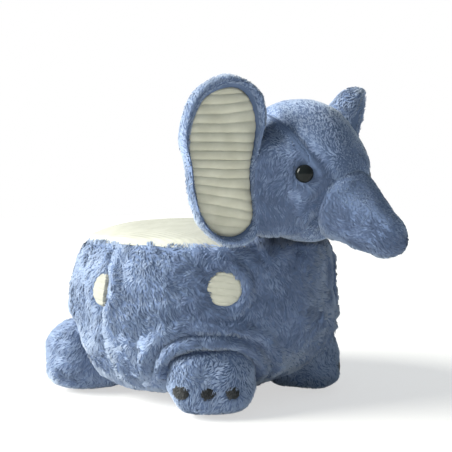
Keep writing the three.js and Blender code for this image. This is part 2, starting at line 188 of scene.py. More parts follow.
def mesh_object(name, verts, faces, materials, index=None):
    """A smooth-shaded Blender object from points in millimetres."""
    mesh = bpy.data.meshes.new(name)
    faces = np.asarray(faces)
    sides = faces.shape[1]
    mesh.vertices.add(len(verts))
    mesh.vertices.foreach_set("co", (np.asarray(verts, float) / MM).ravel())
    mesh.loops.add(len(faces) * sides)
    mesh.loops.foreach_set("vertex_index", faces.ravel().astype(np.int32))
    mesh.polygons.add(len(faces))
    mesh.polygons.foreach_set("loop_start", np.arange(0, len(faces) * sides, sides, dtype=np.int32))
    mesh.polygons.foreach_set("use_smooth", np.full(len(faces), True))
    for m in materials:
        mesh.materials.append(m)
    if index is not None:
        mesh.polygons.foreach_set("material_index", np.asarray(index, np.int32))
    mesh.update(calc_edges=True)
    mesh.validate()
    obj = bpy.data.objects.new(name, mesh)
    bpy.context.scene.collection.objects.link(obj)
    return obj


def cloth(name, verts, faces, thickness, material, body, nodes=(), bend=None):
    """A padded skin closed from a sheet: it rides on a body, or, given bend, is left fixed in place, and stands for
    CAD nodes.
    """
    skin = mesh_object(name, *shell(verts, faces, thickness), [material])
    if bend:
        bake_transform(skin)
    else:
        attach(skin, body)
    if nodes:
        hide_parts(*nodes)


# ---------- materials ----------
def node_material(name, colour, roughness, build=None, sheen=0.0, sheen_tint=(1, 1, 1)):
    """A plain Principled material; build adds its pattern."""
    m = bpy.data.materials.new(name)
    m.use_nodes = True
    tree = m.node_tree
    bsdf = tree.nodes["Principled BSDF"]
    bsdf.inputs["Base Color"].default_value = (*colour, 1)
    bsdf.inputs["Roughness"].default_value = roughness
    if sheen:
        bsdf.inputs["Sheen Weight"].default_value = sheen
        bsdf.inputs["Sheen Roughness"].default_value = 0.5
        bsdf.inputs["Sheen Tint"].default_value = (*sheen_tint, 1)
    if build:
        build(tree, bsdf)
    return m


def mottled(dark, light, scale, bump_scale, bump_strength, bump_distance):
    """Colour that drifts between two shades, and a fine bump."""

    def build(tree, bsdf):
        coord = tree.nodes.new("ShaderNodeTexCoord")
        blotch = tree.nodes.new("ShaderNodeTexNoise")
        blotch.inputs["Scale"].default_value = scale
        blotch.inputs["Detail"].default_value = 4
        ramp = tree.nodes.new("ShaderNodeValToRGB")
        ramp.color_ramp.elements[0].position = 0.35
        ramp.color_ramp.elements[1].position = 0.68
        ramp.color_ramp.elements[0].color = (*dark, 1)
        ramp.color_ramp.elements[1].color = (*light, 1)
        fine = tree.nodes.new("ShaderNodeTexNoise")
        fine.inputs["Scale"].default_value = bump_scale
        fine.inputs["Detail"].default_value = 3
        bumped = tree.nodes.new("ShaderNodeBump")
        bumped.inputs["Strength"].default_value = bump_strength
        bumped.inputs["Distance"].default_value = bump_distance
        link = tree.links.new
        link(coord.outputs["Object"], blotch.inputs["Vector"])
        link(coord.outputs["Object"], fine.inputs["Vector"])
        link(blotch.outputs["Fac"], ramp.inputs["Fac"])
        link(ramp.outputs["Color"], bsdf.inputs["Base Color"])
        link(fine.outputs["Fac"], bumped.inputs["Height"])
        link(bumped.outputs["Normal"], bsdf.inputs["Normal"])

    return build


def ribbed_cloth(name, colour, dark, light, sheen=0.0):
    """Cream cloth with a fine weave; its ribs are in the mesh."""
    return node_material(name, colour, 0.85, mottled(dark, light, 45, 1400, 0.35, 0.0006), sheen)


BLUE_SHADES = [
    (0.085, 0.125, 0.235),
    (0.125, 0.175, 0.31),
    (0.15, 0.21, 0.355),
    (0.175, 0.24, 0.39),
    (0.22, 0.285, 0.44),
]
NAIL_SHADES = [(0.02, 0.022, 0.026), (0.045, 0.048, 0.054)]
# Painted shade: the cloth under the pile takes the darkest blue, standing for the shade between the locks.
plush_ground = node_material(
    "plush_ground", BLUE_SHADES[0], 0.95, mottled((0.08, 0.12, 0.22), (0.12, 0.17, 0.30), 30, 700, 0.4, 0.001)
)
pile = [
    node_material(f"plush_pile_{i}", c, 0.8, sheen=0.45, sheen_tint=(0.78, 0.87, 1))
    for i, c in enumerate(BLUE_SHADES)
]
# Copies of one cream cloth, in different brightness for the light each place gets: the ear lining's is painted
# paler (painted light), the seat's darker (painted shade) and a little less yellow.
lining_cream_painted_light = ribbed_cloth("ribbed_cream_painted_light", (0.8, 0.77, 0.66), (0.50, 0.485, 0.40), (0.59, 0.575, 0.485), sheen=0.1)
seat_cream_painted_shade = ribbed_cloth("ribbed_seat_painted_shade", (0.5, 0.5, 0.46), (0.385, 0.385, 0.345), (0.43, 0.43, 0.39))
# The spots' copies of the cream cloth: the front ones' is painted paler (painted light), the rear ones' darker
# (painted shade).
spot_front_painted_light = ribbed_cloth("ribbed_spot_front", (0.5, 0.5, 0.46), (0.44, 0.435, 0.375), (0.50, 0.495, 0.43))
spot_rear_painted_shade = ribbed_cloth("ribbed_spot_rear", (0.36, 0.36, 0.33), (0.30, 0.30, 0.27), (0.34, 0.34, 0.31))
nail_ground = node_material(
    "toenail_cloth", (0.02, 0.022, 0.025), 0.9,
    mottled((0.012, 0.014, 0.016), (0.035, 0.038, 0.042), 200, 1500, 0.4, 0.0006),
)
nail_pile = [node_material(f"toenail_pile_{i}", c, 0.85, sheen=0.2) for i, c in enumerate(NAIL_SHADES)]
eye_black = node_material(
    "eye_black", (0.006, 0.008, 0.009), 0.16,
    mottled((0.005, 0.007, 0.008), (0.009, 0.011, 0.012), 90, 500, 0.02, 0.0002),
)
eye_black.node_tree.nodes["Principled BSDF"].inputs["Specular IOR Level"].default_value = 0.18
base_cloth = node_material(
    "base_cloth", (0.13, 0.18, 0.30), 0.9, mottled((0.11, 0.15, 0.26), (0.16, 0.21, 0.34), 60, 900, 0.5, 0.0008)
)
moulded = node_material(
    "lock_plastic", (0.8, 0.8, 0.77), 0.5, mottled((0.78, 0.78, 0.75), (0.83, 0.83, 0.8), 60, 600, 0.05, 0.0003)
)

# ---------- plush pile ----------
# A lock: three corners at the root (0 to 2), three at the bend (3 to 5) and one at the tip (6).
LOCK_CORNERS = [(-1.0, -0.35), (1.0, -0.35), (0.0, 0.75)]
LOCK_FACES = np.array([
    [0, 4, 1], [0, 3, 4], [1, 5, 2], [1, 4, 5], [2, 3, 0], [2, 5, 3], [3, 6, 4], [4, 6, 5], [5, 6, 3], [0, 1, 2],
])
MOST_LOCKS = 19000  # in one mesh
OFF_FLOOR = 0.3  # locks that would reach lower than this are left out
DENSE = 2.1  # distance between the locks on the body and the legs
FINE = DENSE * 0.95  # and on the head, the trunk and the ears


def tufts(name, body, verts, faces, nap, seed, spacing=DENSE, length=6.0, width=1.4, lean=0.35,
          clump=7.0, gather=0.5, keep=None, shades=pile, wild=0.6, length_of=None, tone_of=None, bend=None,
          contrast=1.0):
    """Pile over an outer skin: closed tapering locks that lie along the nap and gather into clumps."""
    rng = np.random.default_rng(seed)
    tri = np.concatenate([faces[:, [0, 1, 2]], faces[:, [0, 2, 3]]])
    a, b, c = verts[tri[:, 0]], verts[tri[:, 1]], verts[tri[:, 2]]
    area = np.linalg.norm(np.cross(b - a, c - a), axis=1) / 2
    normals = vertex_normals(verts, faces)

    def scatter(n):
        pick = rng.choice(len(tri), n, p=area / area.sum())
        r1, r2 = np.sqrt(rng.random(n)), rng.random(n)
        w = np.stack([1 - r1, r1 * (1 - r2), r1 * r2], axis=1)
        p = (verts[tri[pick]] * w[:, :, None]).sum(axis=1)
        return p, unit((normals[tri[pick]] * w[:, :, None]).sum(axis=1))

    def lie(q, m):
        v = unit(nap(q, m)) + wild * (1.1 * swirl(q, 30, seed) + 0.7 * swirl(q, 11, seed + 5))
        return unit(v - m * (v * m).sum(axis=1, keepdims=True))

    p, n = scatter(int(area.sum() / spacing**2))
    if keep is not None:
        chosen = keep(p)
        p, n = p[chosen], n[chosen]
    count = len(p)
    size = length * (1 + 0.14 * noise(p, 20, seed + 3) + 0.12 * rng.standard_normal(count))
    if length_of is not None:
        size = size * length_of(p)
    rise = lean * (1 + 0.35 * noise(p, 14, seed + 9))[:, None]
    tip = p + size[:, None] * unit(lie(p, n) + n * rise)
    # Each lock's tip is drawn towards the tip of the nearest guide, so that the locks clump.
    guides, guide_n = scatter(max(8, int(area.sum() / clump**2)))
    g_rise = lean * (1 + 0.5 * rng.standard_normal(len(guides)))[:, None]
    g_tip = guides + length * unit(lie(guides, guide_n) + guide_n * np.clip(g_rise, 0.1, 1.2))
    tree = KDTree(len(guides))
    for i, g in enumerate(guides):
        tree.insert(g, i)
    tree.balance()
    near = np.array([tree.find(q)[1] for q in p])
    reach = np.linalg.norm(guides[near] - p, axis=1)[:, None]
    pull = gather * (0.6 + 0.4 * rng.random(count))[:, None] * np.clip(1.3 - reach / clump, 0, 1)
    if length_of is not None:
        pull = pull * np.clip(length_of(p), 0, 1)[:, None]
    tip = tip + (g_tip[near] - tip) * pull
    axis = unit(tip - p)
    side = unit(np.cross(axis, n) + 1e-4)
    back = unit(np.cross(side, axis))
    half = (width / 2 * (1 + 0.25 * rng.standard_normal(count).clip(-1.5, 1.5)))[:, None]
    mid = p + (tip - p) * 0.5 + n * (size * 0.09)[:, None]
    sunk = p - n * 1.0
    pts = [sunk + side * half * x + back * half * y for x, y in LOCK_CORNERS]
    pts += [mid + side * half * 0.8 * x + back * half * 0.7 * y for x, y in LOCK_CORNERS]
    pts.append(tip)
    v = np.stack(pts, axis=1)
    tone = 0.4 * noise(p, 24, seed + 11) + 0.45 * noise(p, 9, seed + 12)
    tone += 0.5 * noise(guides[near], 3, seed + 13)
    tone += 0.2 * rng.standard_normal(count)
    tone = tone * contrast
    if tone_of is not None:
        tone = tone + tone_of(p)
    shade = np.clip(((tone + 1.0) / 2.0 * len(shades)).astype(int), 0, len(shades) - 1)
    # The locks share the cloth's shading, tipped a little by the way each one lies, as short dense plush does.
    g_lie = unit((g_tip - guides)[near])
    calm = min(contrast, 1.0)
    soft = unit(n + 0.2 * axis + calm * (0.1 * rng.standard_normal((count, 3)) + 0.32 * g_lie))
    own = np.stack([-side, side, back, -side, side, back, axis], axis=1)
    shading = unit(soft[:, None, :] + 0.14 * own)
    clear = v[:, :, 2].min(axis=1) > OFF_FLOOR
    v, shading, shade = v[clear], shading[clear], shade[clear]
    count = len(v)
    parts = math.ceil(count / MOST_LOCKS)
    for part in range(parts):
        some = slice(part * count // parts, (part + 1) * count // parts)
        n_some = len(v[some])
        f = (LOCK_FACES[None] + (np.arange(n_some) * 7)[:, None, None]).reshape(-1, 3)
        obj = mesh_object(f"{name}_{part + 1}" if parts > 1 else name, v[some].reshape(-1, 3), f, shades,
                          index=np.repeat(shade[some], len(LOCK_FACES)))
        obj.data.normals_split_custom_set_from_vertices(shading[some].reshape(-1, 3))
        if bend:
            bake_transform(obj)
        else:
            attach(obj, body)


# ---------- the body ----------
wall_low, wall_high = box("body_wall_front", "body_wall_rear")
seat_low, seat_high = box("seat_panel")
HALF_X = (wall_high[0] - wall_low[0]) / 2
HALF_Y = wall_high[1]
TOP = seat_high[2]
RIM = TOP - 33
SEAM_Y = box("body_wall_front")[1][1] + 12.0  # the front cover laps a little over the rear one
PILE_DEPTH = 4.0  # the cloth lies this far inside the outline that the pile fills
# Profiles from the floor up: the share of the body's half width or half depth, and the height.
FLANK = [
    (0, 0), (0.26, 0), (0.52, 7), (0.76, 20), (0.91, 46), (0.985, 80), (1, 115), (0.995, 150), (0.955, 190),
    (0.905, 211), (0.862, 222.5),
]
CHEST = [
    (0, 0), (0.26, 0), (0.5, 12), (0.74, 34), (0.9, 65), (0.97, 92), (1, 122), (1, 150), (0.985, 190),
    (0.955, 212), (0.925, 222.5),
]
SEAT = [(0.862, 222.5), (0.79, 229.0), (0.66, 237), (0.45, 244.5), (0.22, 249), (0, 250.5)]
SEAT_CHEST = [(0.925, 222.5), (0.83, 229), (0.68, 236.5), (0.45, 244.5), (0.22, 249), (0, 250.5)]
PROFILE_TOP = 252.0  # the height that the profiles are drawn for
LEG_NAMES = ["front_right", "front_left", "rear_right", "rear_left"]
legs = {}
for leg_name in LEG_NAMES:
    hinge = joint_at(f"leg_{leg_name}_lift")
    low, high = box(f"leg_cover_{leg_name}", f"leg_filling_{leg_name}")
    out = unit(np.array([hinge[0], hinge[1], 0.0]))
    radial = math.hypot(hinge[0], hinge[1]) + 30.0
    legs[leg_name] = {
        "out": out,
        "across": np.array([-out[1], out[0], 0.0]),
        "centre": np.array([out[0] * radial, out[1] * radial, (low[2] + high[2]) / 2]),
        "half": np.array([57.0 if "front" in leg_name else 66.0, 60.0, (high[2] - low[2]) / 2]),
    }


def leg_power(up):
    """The leg's rounded block is squarer below its middle, where the sole is."""
    return 2.5 + 1.1 * smooth(-up, 0, 0.45)


def leg_distance(p, leg, grow=0.0):
    """About how far points lie outside a leg's rounded block."""
    d = p - leg["centre"]
    half = leg["half"] + grow
    q = np.stack([d @ leg["out"] / half[0], d @ leg["across"] / half[1], d[:, 2] / half[2]], axis=1)
    return (np.sum(np.abs(q) ** 2.5, axis=1) ** 0.4 - 1) * half.min()


def body_points(theta, t, flank, chest):
    """Outline points at a polar angle and a place t along the profile, which changes from flank to chest."""
    shape_f, shape_c = spline(flank, t), spline(chest, t)
    to_chest = smooth(-HALF_Y * np.sin(theta), 60, 150)[:, None]
    shape = shape_f + (shape_c - shape_f) * to_chest
    share, z = shape[:, 0], shape[:, 1] * TOP / PROFILE_TOP
    return np.stack([share * HALF_X * np.cos(theta), share * HALF_Y * np.sin(theta), z], axis=1)


def body_relief(p):
    """How far the cloth stands out (+) or is drawn in (-) at each point of the wall."""
    r = 2.2 * noise(p, 70, 3) + 1.5 * noise(p, 32, 4) + 1.1 * noise(p, 13, 5) + 0.6 * noise(p, 7, 6)
    upright = smooth(p[:, 2], 60, 130) * (1 - smooth(p[:, 2], 205, 218))
    # The side seam: a groove with a soft roll of the front cover over it.
    seam_y = p[:, 1] - (SEAM_Y + 3 * noise(p * [0, 0, 1], 40, 8))
    wide = np.abs(p[:, 0]) > HALF_X * 0.6
    r += np.where(wide, upright * (-3.5 * bump(seam_y, 5, 6) + 2.8 * bump(seam_y, -9, 9)), 0)
    # The rim pulls in a little at the seat seam.
    r -= 2.0 * bump(p[:, 2], RIM + 6, 5)
    for leg_name, leg in legs.items():
        d = leg_distance(p, leg)
        above = smooth(p[:, 2], 30, 60)
        d = d + 2.5 * noise(p, 26, 12)
        if "front" in leg_name:
            folds = 7.0 * bump(d, 7, 5.5) - 4.5 * bump(d, 16, 3.2) + 5.0 * bump(d, 25, 7) - 5.0 * bump(d, -3, 6)
            r += above * folds
        else:
            r += above * (3.0 * bump(d, 16, 10) - 6.0 * bump(d, 0, 8))
    return r


def body_patch(t0, t1, th0, th1, nu, nv):
    """A stretch of the wall's cloth between two polar angles and two places along the profile."""
    uu, vv = np.meshgrid(np.linspace(th0, th1, nu), np.linspace(t0, t1, nv), indexing="ij")
    p = body_points(uu.ravel(), vv.ravel(), FLANK, CHEST)
    faces = grid_faces(nu, nv, False)
    n = vertex_normals(p, faces)
    return p + n * (wall_relief(p)[:, None] - PILE_DEPTH), faces


def nap_down(p, n):
    """Down and a little to one side, but standing up over the seat's edge along the rim."""
    rim = smooth(p[:, 2], RIM - 8, RIM - 1)[:, None]
    inward = unit(p * [-1, -1, 0])
    down = np.tile([0.0, 0.0, -1.0], (len(p), 1)) + 0.35 * unit(np.cross(np.tile(UP, (len(p), 1)), n))
    return down * (1 - rim) + (1.5 * UP + 1.6 * inward) * rim


def wall_painted_light(p):
    """Painted light and shade: the pile is paler over the flanks, where the light falls, and darker over the chest,
    which lies in shade.
    """
    return 0.6 - 1.25 * smooth(-p[:, 1], 50, 190)


def rim_length(p):
    """A little longer along the rim, where the pile covers the seat's edge."""
    return 1 + 0.2 * smooth(p[:, 2], RIM - 8, RIM)


def nap_wall(p, n):
    """Beside the side seam the front cover's pile lies back over it."""
    wide = (np.abs(p[:, 0]) > HALF_X * 0.6) & (p[:, 1] < SEAM_Y)
    over = np.where(wide, smooth(p[:, 1], SEAM_Y - 9, SEAM_Y), 0)[:, None]
    return nap_down(p, n) * (1 - over) + over * 2.0 * np.array([0.0, 1.0, -0.4])


def outside_legs(p):
    """The points that no leg covers."""
    inside = np.zeros(len(p), bool)
    for leg in legs.values():
        inside |= leg_distance(p, leg) < -3
    return ~inside


spots = {}
for side in ("right", "left"):
    for end in ("front", "rear"):
        low, high = box(f"spot_{side}_{end}")
        middle = (low + high) / 2
        out = unit(np.array([middle[0] / HALF_X**2, middle[1] / HALF_Y**2, 0.0]))
        radius = (high[2] - low[2]) / 2
        spots[f"spot_{side}_{end}"] = {"centre": middle, "out": out, "radius": radius}


def spot_distance(p):
    """How far points lie outside the edge of the nearest spot."""
    best = np.full(len(p), 1e3)
    for s in spots.values():
        d = p - s["centre"]
        flat = d - np.outer(d @ s["out"], s["out"])
        far = np.where(d @ s["out"] < -40, 1e3, 0)
        best = np.minimum(best, np.linalg.norm(flat, axis=1) - s["radius"] + far)
    return best


def spot_ahead(p):
    """How far a point lies ahead of the spot it is nearest to."""
    away = np.stack([np.linalg.norm(p - s["centre"], axis=1) for s in spots.values()])
    nearest = np.array([s["centre"][1] for s in spots.values()])[away.argmin(axis=0)]
    return nearest - p[:, 1]


WALL_T = len(FLANK) - 1.0
seam_angle = math.asin(-SEAM_Y / HALF_Y)


def wall_relief(p):
    """The body's relief, with the spots sunk in it."""
    r = body_relief(p)
    d = spot_distance(p)
    # A soft lip stands round each spot: on the front ones it is fuller towards the chest, with a crease round it.
    ahead = 0.5 + 0.5 * np.tanh(spot_ahead(p) / 12.0)
    front = smooth(-p[:, 1], -SEAM_Y + 45, -SEAM_Y + 65)
    lip = 1.5 * bump(d, 9, 6) * (1 - front) + front * ahead * (3.6 * bump(d, 9, 5) - 2.6 * bump(d, 19, 4))
    return r + lip - 2.5 * (1 - smooth(d, -4, 3))


def lapped(p):
    """Where the front cover laps over the forward edge of the rear spots."""
    return (p[:, 1] < SEAM_Y + 5) & (p[:, 1] > SEAM_Y - 30)


def wall_keep(p):
    """Pile grows outside the legs and the spots, and on the front cover's lap."""
    return outside_legs(p) & ((spot_distance(p) > 0.5) | lapped(p))


walls = {
    "front": (-math.pi + seam_angle, -seam_angle, 31, ["body_wall_front", "body_cushion"]),
    "rear": (-seam_angle, math.pi + seam_angle, 47, ["body_wall_rear"]),
}
T_START = 0.82  # the middle of the bottom is left to the base panel
for end, (th0, th1, seed, nodes) in walls.items():
    v, f = body_patch(T_START, WALL_T, th0, th1, 260, 110)
    cloth(f"body_plush_{end}", v, f, 3.0, plush_ground, "body", nodes)
    tufts(f"body_pile_{end}", "body", v, f, nap_wall, seed, length=6.6, width=1.35, clump=8.5, gather=0.6,
          keep=wall_keep, wild=1.3, length_of=rim_length, tone_of=wall_painted_light)

# ---------- the seat top ----------
RIB = 5.5  # distance between the ribs of the seat and the spots


def ribs(x, pitch, height):
    """Rounded ribs with a narrow groove between them."""
    return height * (np.abs(np.sin(np.pi * x / pitch)) ** 0.42 - 0.65)


neck_at = joint_at("head_nod")


def seat_relief(p):
    """Ribs from front to back, broad lumps, and a dip just inside the edge."""
    edge = np.sqrt((p[:, 0] / HALF_X) ** 2 + (p[:, 1] / HALF_Y) ** 2)
    r = ribs(p[:, 0] + 2.0 * noise(p, 60, 21), RIB, 1.0) + 1.6 * noise(p, 80, 22)
    r += 2.5 - 1.0 * bump(edge, 0.89, 0.02)
    return r


uu, vv = rings(420, 120, 0, len(SEAT) - 1.0)
seat_v = body_points(uu, vv, SEAT, SEAT_CHEST)
seat_f = grid_faces(420, 120, True)
seat_n = vertex_normals(seat_v, seat_f)
seat_n[np.linalg.norm(seat_v[:, :2], axis=1) < 2] = UP
tucked = 6.0 * (1 - smooth(vv, 0, 0.7))  # the edge goes down under the pile of the wall
seat_v = seat_v + seat_n * (seat_relief(seat_v) - 2.0 - tucked)[:, None]
near_neck = np.linalg.norm((seat_v[seat_f].mean(axis=1) - neck_at)[:, :2], axis=1) < 84
cloth("seat_top", seat_v, seat_f[~near_neck], 2.5, seat_cream_painted_shade, "body", ["seat_panel"])
yoke_v, yoke_f = seat_v + UP * 0.3, seat_f[near_neck]
cloth("neck_yoke", yoke_v, yoke_f, 3.0, plush_ground, "body")


def nap_back(p, n):
    """Straight back, from under the head."""
    return np.tile([0.0, 1.0, 0.2], (len(p), 1))


def yoke_length(p):
    """Long under the head, where it closes the crease, and short at the edge of the seat."""
    return 0.35 + 0.75 * (1 - smooth(np.linalg.norm((p - neck_at)[:, :2], axis=1), 58, 80))


def yoke_painted_shade(p):
    """Painted shade: dark, because it lies in the crease under the head."""
    return np.full(len(p), -0.9)


tufts("neck_yoke_pile", "body", yoke_v, yoke_f, nap_back, 53, length=10.0, width=1.6, lean=0.8, wild=0.9,
      length_of=yoke_length, tone_of=yoke_painted_shade)

# ---------- the round spots ----------
for i, (name, spot) in enumerate(spots.items()):
    out, radius = spot["out"], spot["radius"]
    across = unit(np.cross(UP, out))
    uu, vv = rings(72, 26)
    r = (radius + 2.5) * (1 - vv)
    flat = np.outer(r * np.cos(uu), across) + np.outer(r * np.sin(uu), UP)
    q = spot["centre"] + flat
    # The disc follows the wall: it is pushed out along the spot's axis to the body's outline.
    share = np.sqrt((q[:, 0] / HALF_X) ** 2 + (q[:, 1] / HALF_Y) ** 2)
    level = np.interp(q[:, 2], [z for _, z in FLANK[3:]], [k for k, _ in FLANK[3:]])
    level_c = np.interp(q[:, 2], [z for _, z in CHEST[3:]], [k for k, _ in CHEST[3:]])
    level = level + (level_c - level) * smooth(-q[:, 1], 60, 150)
    radial = unit(q * [1, 1, 0])
    q = q + radial * ((level / share - 1) * np.linalg.norm(q[:, :2], axis=1))[:, None]
    slant = flat @ UP + 0.12 * (flat @ across) + 1.2 * noise(flat + 50 * i, 14, 60)
    rise = ribs(slant, 8.0, 1.5) - 3.2 - 3.0 * smooth(r, radius - 3, radius + 2)
    q = q + out * (rise - np.where(lapped(q), 6.0, 0.0))[:, None]
    # Front spots take the copy painted paler, rear spots the copy painted darker, for the light each gets.
    material = spot_front_painted_light if "front" in name else spot_rear_painted_shade
    cloth(name.replace("spot", "round_spot"), q, facing_out(q, grid_faces(72, 26, True), out), 1.5, material,
          "body", [name])

# ---------- the legs ----------
NAIL_WIDE, NAIL_HIGH = 10.0, 8.0  # half the width and half the height of a toenail


def leg_tone_and_painted_light(q):
    """The front feet's pile is paler than the rear ones'; the left foot's is paler than the right's as painted
    light, against the body's shadow over it.
    """
    return 0.1 + smooth(-q[:, 1], 0, 80) * (0.4 + 0.6 * smooth(q[:, 0], 0, 60))


def short_low(q):
    """Shorter towards the sole."""
    return 0.5 + 0.5 * smooth(q[:, 2], 4, 30)


for k, (leg_name, leg) in enumerate(legs.items()):
    uu, vv = rings(150, 90)
    # Rings round the leg's own axis, from the toe end inwards.
    polar = vv * math.pi * 0.74
    d = np.stack([np.cos(polar), np.sin(polar) * np.cos(uu), np.sin(polar) * np.sin(uu)], axis=1)
    power = leg_power(d[:, 2])
    d = d / (np.sum(np.abs(d) ** power[:, None], axis=1) ** (1 / power))[:, None]
    local = d * (leg["half"] - PILE_DEPTH)
    sole = smooth(-d[:, 2], 0.3, 0.8)
    if "front" in leg_name:
        local[:, 0] += 5.0 * sole * smooth(d[:, 0], 0, 0.5)
    local[:, 1] *= 1 - 0.10 * sole
    axes = np.array([leg["out"], leg["across"], UP])
    p = leg["centre"] + local @ axes
    lump = 1.8 * noise(p, 38, 70 + k) + 1.0 * noise(p, 17, 80 + k)
    # Creases where the foot bends up under the body.
    lump += 1.6 * np.sin(local[:, 0] / 9.0 + 1.5 * noise(p, 40, 90)) * smooth(local[:, 2], 5, 40)
    p = p + unit(d @ axes) * lump[:, None]
    p[:, 2] = np.where(p[:, 2] < 4, 3.0 + (p[:, 2] - 3.0) * 0.25, p[:, 2])
    f = facing_out(p, grid_faces(150, 90, True), p - leg["centre"])
    body = f"leg_{leg_name}"
    cloth(f"leg_plush_{leg_name}", p, f, 3.0, plush_ground, body,
          [f"leg_cover_{leg_name}", f"leg_filling_{leg_name}"])
    nails = []
    if "front" in leg_name:
        for i in (1, 2, 3):
            low, high = box(f"toenail_{leg_name}_{i}")
            nails.append((low + high) / 2)

    def nail_distance(q, nails=nails, leg=leg):
        """How far points lie outside the nearest toenail."""
        best = np.full(len(q), 1e3)
        for at in nails:
            e = q - at
            behind = np.where(e @ leg["out"] < -25, 1e3, 0)
            best = np.minimum(best, np.hypot((e @ leg["across"]) / 9.0, e[:, 2] / 7.0) * 8 - 8 + behind)
        return best

    def nap_leg(q, m, leg=leg):
        return np.outer(np.ones(len(q)), leg["out"] * 0.5 - UP * 0.9)

    def keep_leg(q, leg=leg):
        return (q[:, 2] > 5) & (nail_distance(q) > 0.5)

    tufts(f"leg_pile_{leg_name}", body, p, f, nap_leg, 101 + k, length=6.4, clump=8.0, keep=keep_leg, wild=1.2,
          length_of=short_low, tone_of=leg_tone_and_painted_light)
    for i, at in enumerate(nails):
        uu, vv = rings(48, 14)
        r = 1 - vv
        q = at + np.outer(r * NAIL_WIDE * np.cos(uu), leg["across"]) + np.outer(r * NAIL_HIGH * np.sin(uu), UP)
        e = q - leg["centre"]
        y = np.abs(e @ leg["across"]) / (leg["half"][1] - PILE_DEPTH)
        z = np.abs(e[:, 2]) / (leg["half"][2] - PILE_DEPTH)
        x = np.full(len(q), 0.9)
        for _ in range(4):
            power = leg_power(-z / np.sqrt(x**2 + y**2 + z**2))
            x = np.clip(1 - y**power - z**power, 0.02, 1) ** (1 / power)
        x = x * (leg["half"][0] - PILE_DEPTH) + 5.0 * smooth(z * np.sign(-e[:, 2]), 0.3, 0.8)
        # The patch domes out of the toe.
        q = q + np.outer(x - e @ leg["out"] + 2.4 * (1 - r**3) + 0.3, leg["out"])
        patch = facing_out(q, grid_faces(48, 14, True), leg["out"])
        cloth(f"nail_patch_{leg_name}_{i + 1}", q, patch, 3.0, nail_ground, body,
              [f"toenail_{leg_name}_{i + 1}"])
        tufts(f"nail_pile_{leg_name}_{i + 1}", body, q, patch, nap_leg, 140 + 10 * k + i,
              spacing=1.4, length=3.2, width=1.1, lean=0.6, clump=4, shades=nail_pile, wild=0.8)

# ---------- the head ----------
ROUND = 2.15  # the head is a little squarer than an ellipsoid, whose power is 2
head_low, head_high = box("head_side_right", "head_side_left", "head_gusset")
HEAD_HALF = np.array([(head_high[0] - head_low[0]) / 2, 88.0, 96.0])
HEAD = np.array([0.0, head_high[1] - HEAD_HALF[1], head_high[2] - HEAD_HALF[2]])
GUSSET = box("head_gusset")[1][0]
trunk_root = joint_at("trunk_flex")
trunk_low = box("trunk_cover", "trunk_filling")[0]
TIP_R = 26.0
trunk_tip = np.array([0.0, trunk_low[1] + TIP_R, trunk_low[2] + TIP_R])
ROOT_R = 48.0
trunk_aim = unit(trunk_tip - trunk_root)
SIDES = {"right": -1.0, "left": 1.0}
eyes = {side: np.array([to_left * 64.0, HEAD[1] - 61.0, HEAD[2] - 6.0]) for side, to_left in SIDES.items()}
EYE_RADIUS, EYE_DOME, EYE_BACK = 11.2, 7.5, 3.0


def head_points(d):
    """The head's outline in the direction d from its middle."""
    k = np.sum(np.abs(d) ** ROUND, axis=1) ** (-1 / ROUND)
    p = HEAD + d * k[:, None] * HEAD_HALF
    forward = np.clip((HEAD[1] - p[:, 1]) / HEAD_HALF[1], 0, None)
    p[:, 1] -= 12.0 * bump(p[:, 2], 296, 42) * forward**2
    return p


CROWN_WIDE = 62.0  # half the crown panel's width between the ears
CROWN_SPAN = (-88.0, 30.0, 40.0, 97.0)  # ahead of the head's middle: nape, the widest stretch, trunk's root


def gusset_line(p):
    """Half the width of the crown panel: narrow at the nape, widest ahead of the ears, round to the trunk."""
    forward = HEAD[1] - p[:, 1]
    nape, wide, narrowing, end = CROWN_SPAN
    past = np.clip((forward - narrowing) / (end - narrowing), 0, 1)
    rounded = (1 - past**2) ** 0.7
    return GUSSET + (CROWN_WIDE - GUSSET) * smooth(forward, nape, wide) * rounded


def seam_strength(p):
    """1 along the crown panel's seams, fading out below them."""
    low_end = np.where(p[:, 1] < HEAD[1], 303.0, 262.0)
    return smooth(p[:, 2] - low_end, -8, 6)


def head_relief(p):
    """Lumps, the crown panel's seams, the eyes' hollows and the seam round the trunk."""
    r = 1.6 * noise(p, 60, 120) + 1.0 * noise(p, 26, 121)
    # The crown panel's two seams, from the nape over the crown and down to the root of the trunk.
    seam = np.abs(p[:, 0]) - gusset_line(p)
    r += seam_strength(p) * (-4.2 * bump(seam, 0, 2.6) + 1.0 * bump(np.abs(seam), 8, 6))
    for e in eyes.values():
        d = np.linalg.norm(p - e, axis=1)
        r += -4.5 * bump(d, 0, 17) + 1.5 * bump(d, 26, 10)
    # The trunk's ring seam.
    ring = np.linalg.norm(p - trunk_root, axis=1) - (ROOT_R + 1)
    below = 1 - smooth(p[:, 2], 280, 310)
    r += (-1.0 - 3.0 * below) * bump(ring, 0, 6) + (0.5 + 2.0 * below) * bump(ring, 15, 10)
    return r


